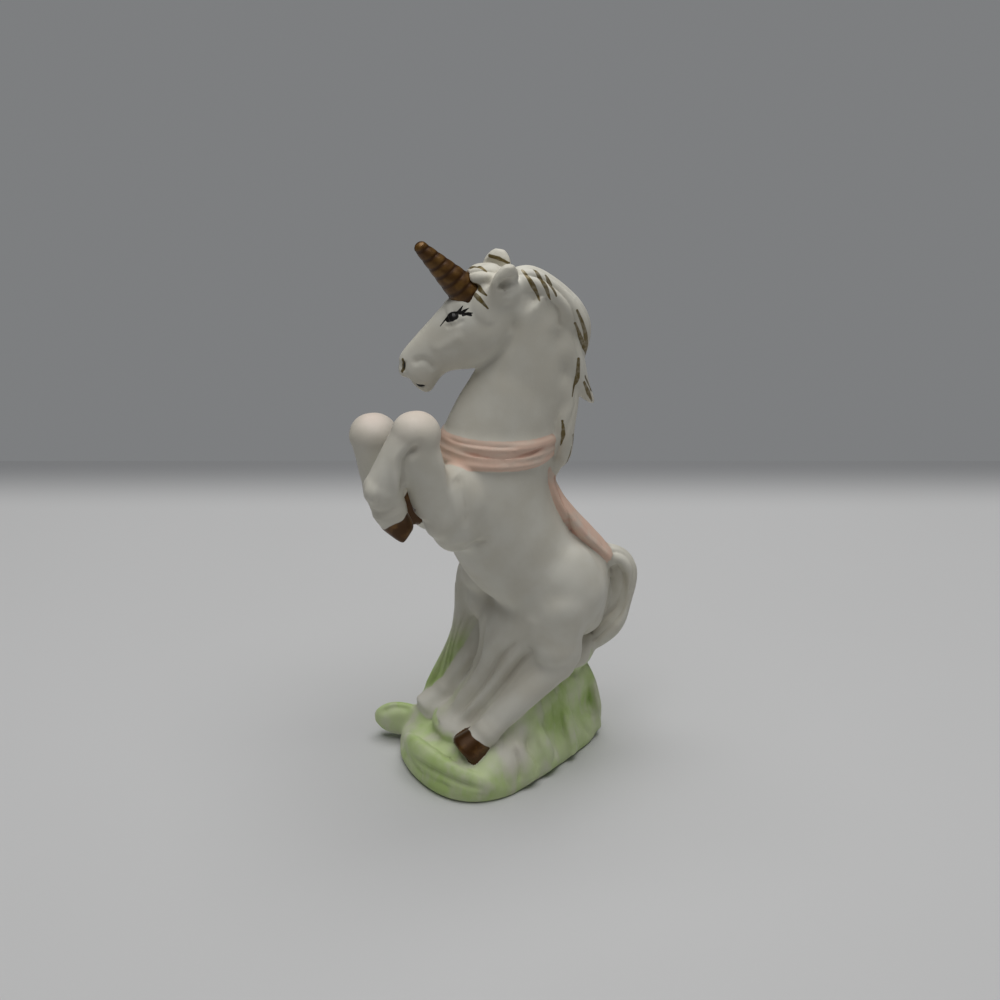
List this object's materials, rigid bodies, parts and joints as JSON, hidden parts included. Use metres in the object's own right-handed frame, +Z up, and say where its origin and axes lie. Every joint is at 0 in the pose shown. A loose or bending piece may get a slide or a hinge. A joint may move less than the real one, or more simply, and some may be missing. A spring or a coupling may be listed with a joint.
{
  "type": "unicorn figurine",
  "caption": "Rearing unicorn ornament of white unglazed porcelain on a green-washed grass mound, with a gilded ringed horn and hooves, a pink sash and a ribbon along its back.",
  "frame": {"origin": "on the flat underside of the grass mound, at the middle of its outline's length", "axes": "+Z up from the resting face; the figure faces -X, so its left side faces -Y"},
  "size_m": [0.0626, 0.0351, 0.1189],
  "materials": {
    "white_bisque": "matt unglazed porcelain",
    "gold_paint": "fired bronze-gold paint on porcelain, satin",
    "pink_wash": "matt peach-pink wash on porcelain",
    "green_wash": "matt pale green wash over white porcelain"
  },
  "bodies": {
    "root": {"mound": "green_wash", "grass_support": "white_bisque", "corner_leaf": "green_wash", "front_leaf": "green_wash", "tall_blade": "green_wash", "side_blades": "green_wash", "rear_blades": "green_wash", "trunk": "white_bisque", "neck": "white_bisque", "head": "white_bisque", "left_ear": "white_bisque", "right_ear": "white_bisque", "horn": "gold_paint", "forelock": "white_bisque", "mane_upper_lock": "white_bisque", "mane_middle_lock": "white_bisque", "mane_lower_lock": "white_bisque", "mane_far_lock": "white_bisque", "left_foreleg": "white_bisque", "right_foreleg": "white_bisque", "left_fore_hoof": "gold_paint", "right_fore_hoof": "gold_paint", "left_hind_leg": "white_bisque", "right_hind_leg": "white_bisque", "left_hind_hoof": "gold_paint", "right_hind_hoof": "white_bisque", "sash": "pink_wash", "back_ribbon": "pink_wash", "tail": "white_bisque"}
  },
  "joints": []
}
